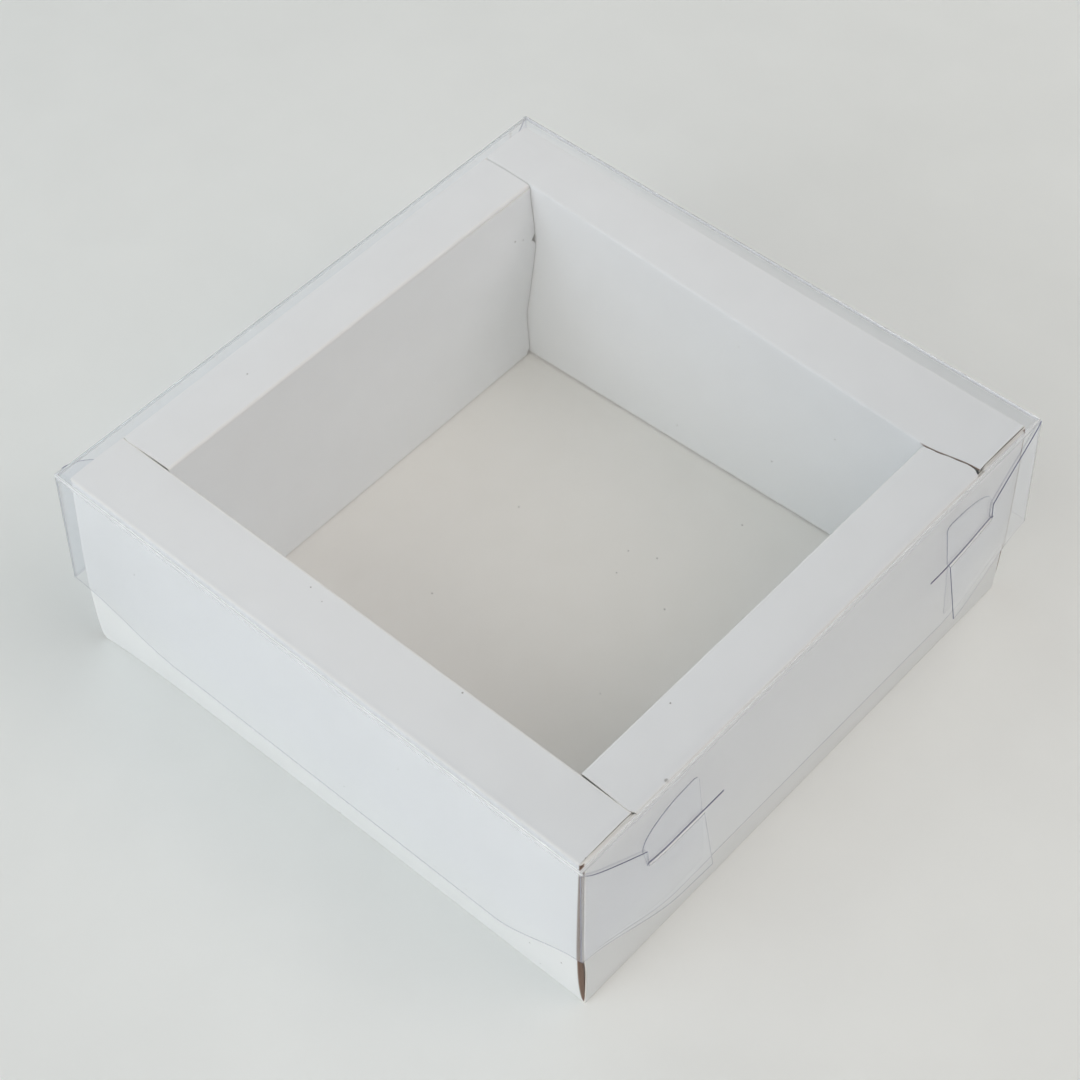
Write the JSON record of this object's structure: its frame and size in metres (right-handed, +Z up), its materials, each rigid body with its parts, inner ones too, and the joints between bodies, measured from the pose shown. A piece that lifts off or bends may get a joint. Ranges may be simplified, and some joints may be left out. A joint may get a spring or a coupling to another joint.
{
  "type": "gift box",
  "caption": "Square white carton tray with hollow frame walls and a clear slip-on lid whose folded corners are held by tabs in slots.",
  "frame": {"origin": "centre of the tray's underside, on the surface that the box stands on", "axes": "+Z up. -Y faces the front left wall and +X the front right wall, which are the two walls that the picture shows from outside. X and Y run along the tray's sides"},
  "size_m": [0.2212, 0.2164, 0.0771],
  "materials": {
    "white_board": "coated white folding board, satin",
    "clear_sheet": "clear, glossy"
  },
  "bodies": {
    "tray": {"tray_base": "white_board", "tray_outer_wall_front_left": "white_board", "tray_outer_wall_front_right": "white_board", "tray_outer_wall_back_right": "white_board", "tray_outer_wall_back_left": "white_board", "tray_rim_front_left": "white_board", "tray_rim_front_right": "white_board", "tray_rim_back_right": "white_board", "tray_rim_back_left": "white_board", "tray_inner_wall_front_left": "white_board", "tray_inner_wall_back_right": "white_board", "tray_flap_near": "white_board", "tray_flap_right": "white_board", "tray_flap_back": "white_board", "tray_flap_left": "white_board"},
    "inner_wall_front_right": {"tray_inner_wall_front_right": "white_board"},
    "inner_wall_back_left": {"tray_inner_wall_back_left": "white_board"},
    "lid": {"lid_top": "clear_sheet", "lid_skirt_front_left": "clear_sheet", "lid_skirt_front_right": "clear_sheet", "lid_skirt_back_right": "clear_sheet", "lid_skirt_back_left": "clear_sheet", "lid_flap_near": "clear_sheet", "lid_flap_right": "clear_sheet", "lid_flap_back": "clear_sheet", "lid_flap_left": "clear_sheet"},
    "tab_near": {"lid_tab_near": "clear_sheet"},
    "tab_right": {"lid_tab_right": "clear_sheet"},
    "tab_back": {"lid_tab_back": "clear_sheet"},
    "tab_left": {"lid_tab_left": "clear_sheet"}
  },
  "joints": [
    {"name": "lid_lift", "type": "slide", "parent": "tray", "child": "lid", "axis": [0, 0, 1], "range_m": [0, 0.12]},
    {"name": "inner_wall_front_right_swing", "type": "hinge", "parent": "tray", "child": "inner_wall_front_right", "pos_m": [0.0805, 0, 0.0757], "axis": [0, -1, 0], "range_deg": [-90, 0]},
    {"name": "inner_wall_back_left_swing", "type": "hinge", "parent": "tray", "child": "inner_wall_back_left", "pos_m": [-0.0805, 0, 0.0757], "axis": [0, 1, 0], "range_deg": [-84, 0]},
    {"name": "tab_near_flex", "type": "hinge", "parent": "lid", "child": "tab_near", "pos_m": [0.10355, -0.0665, 0.0523], "axis": [0, -1, 0], "range_deg": [0, 2.5], "stiffness_Nm_per_rad": 0.02},
    {"name": "tab_right_flex", "type": "hinge", "parent": "lid", "child": "tab_right", "pos_m": [0.10355, 0.0687, 0.0523], "axis": [0, -1, 0], "range_deg": [0, 2.5], "stiffness_Nm_per_rad": 0.02},
    {"name": "tab_back_flex", "type": "hinge", "parent": "lid", "child": "tab_back", "pos_m": [-0.10615, 0.0687, 0.0523], "axis": [0, 1, 0], "range_deg": [0, 12], "stiffness_Nm_per_rad": 0.02},
    {"name": "tab_left_flex", "type": "hinge", "parent": "lid", "child": "tab_left", "pos_m": [-0.10615, -0.0665, 0.0523], "axis": [0, 1, 0], "range_deg": [0, 12], "stiffness_Nm_per_rad": 0.02}
  ]
}
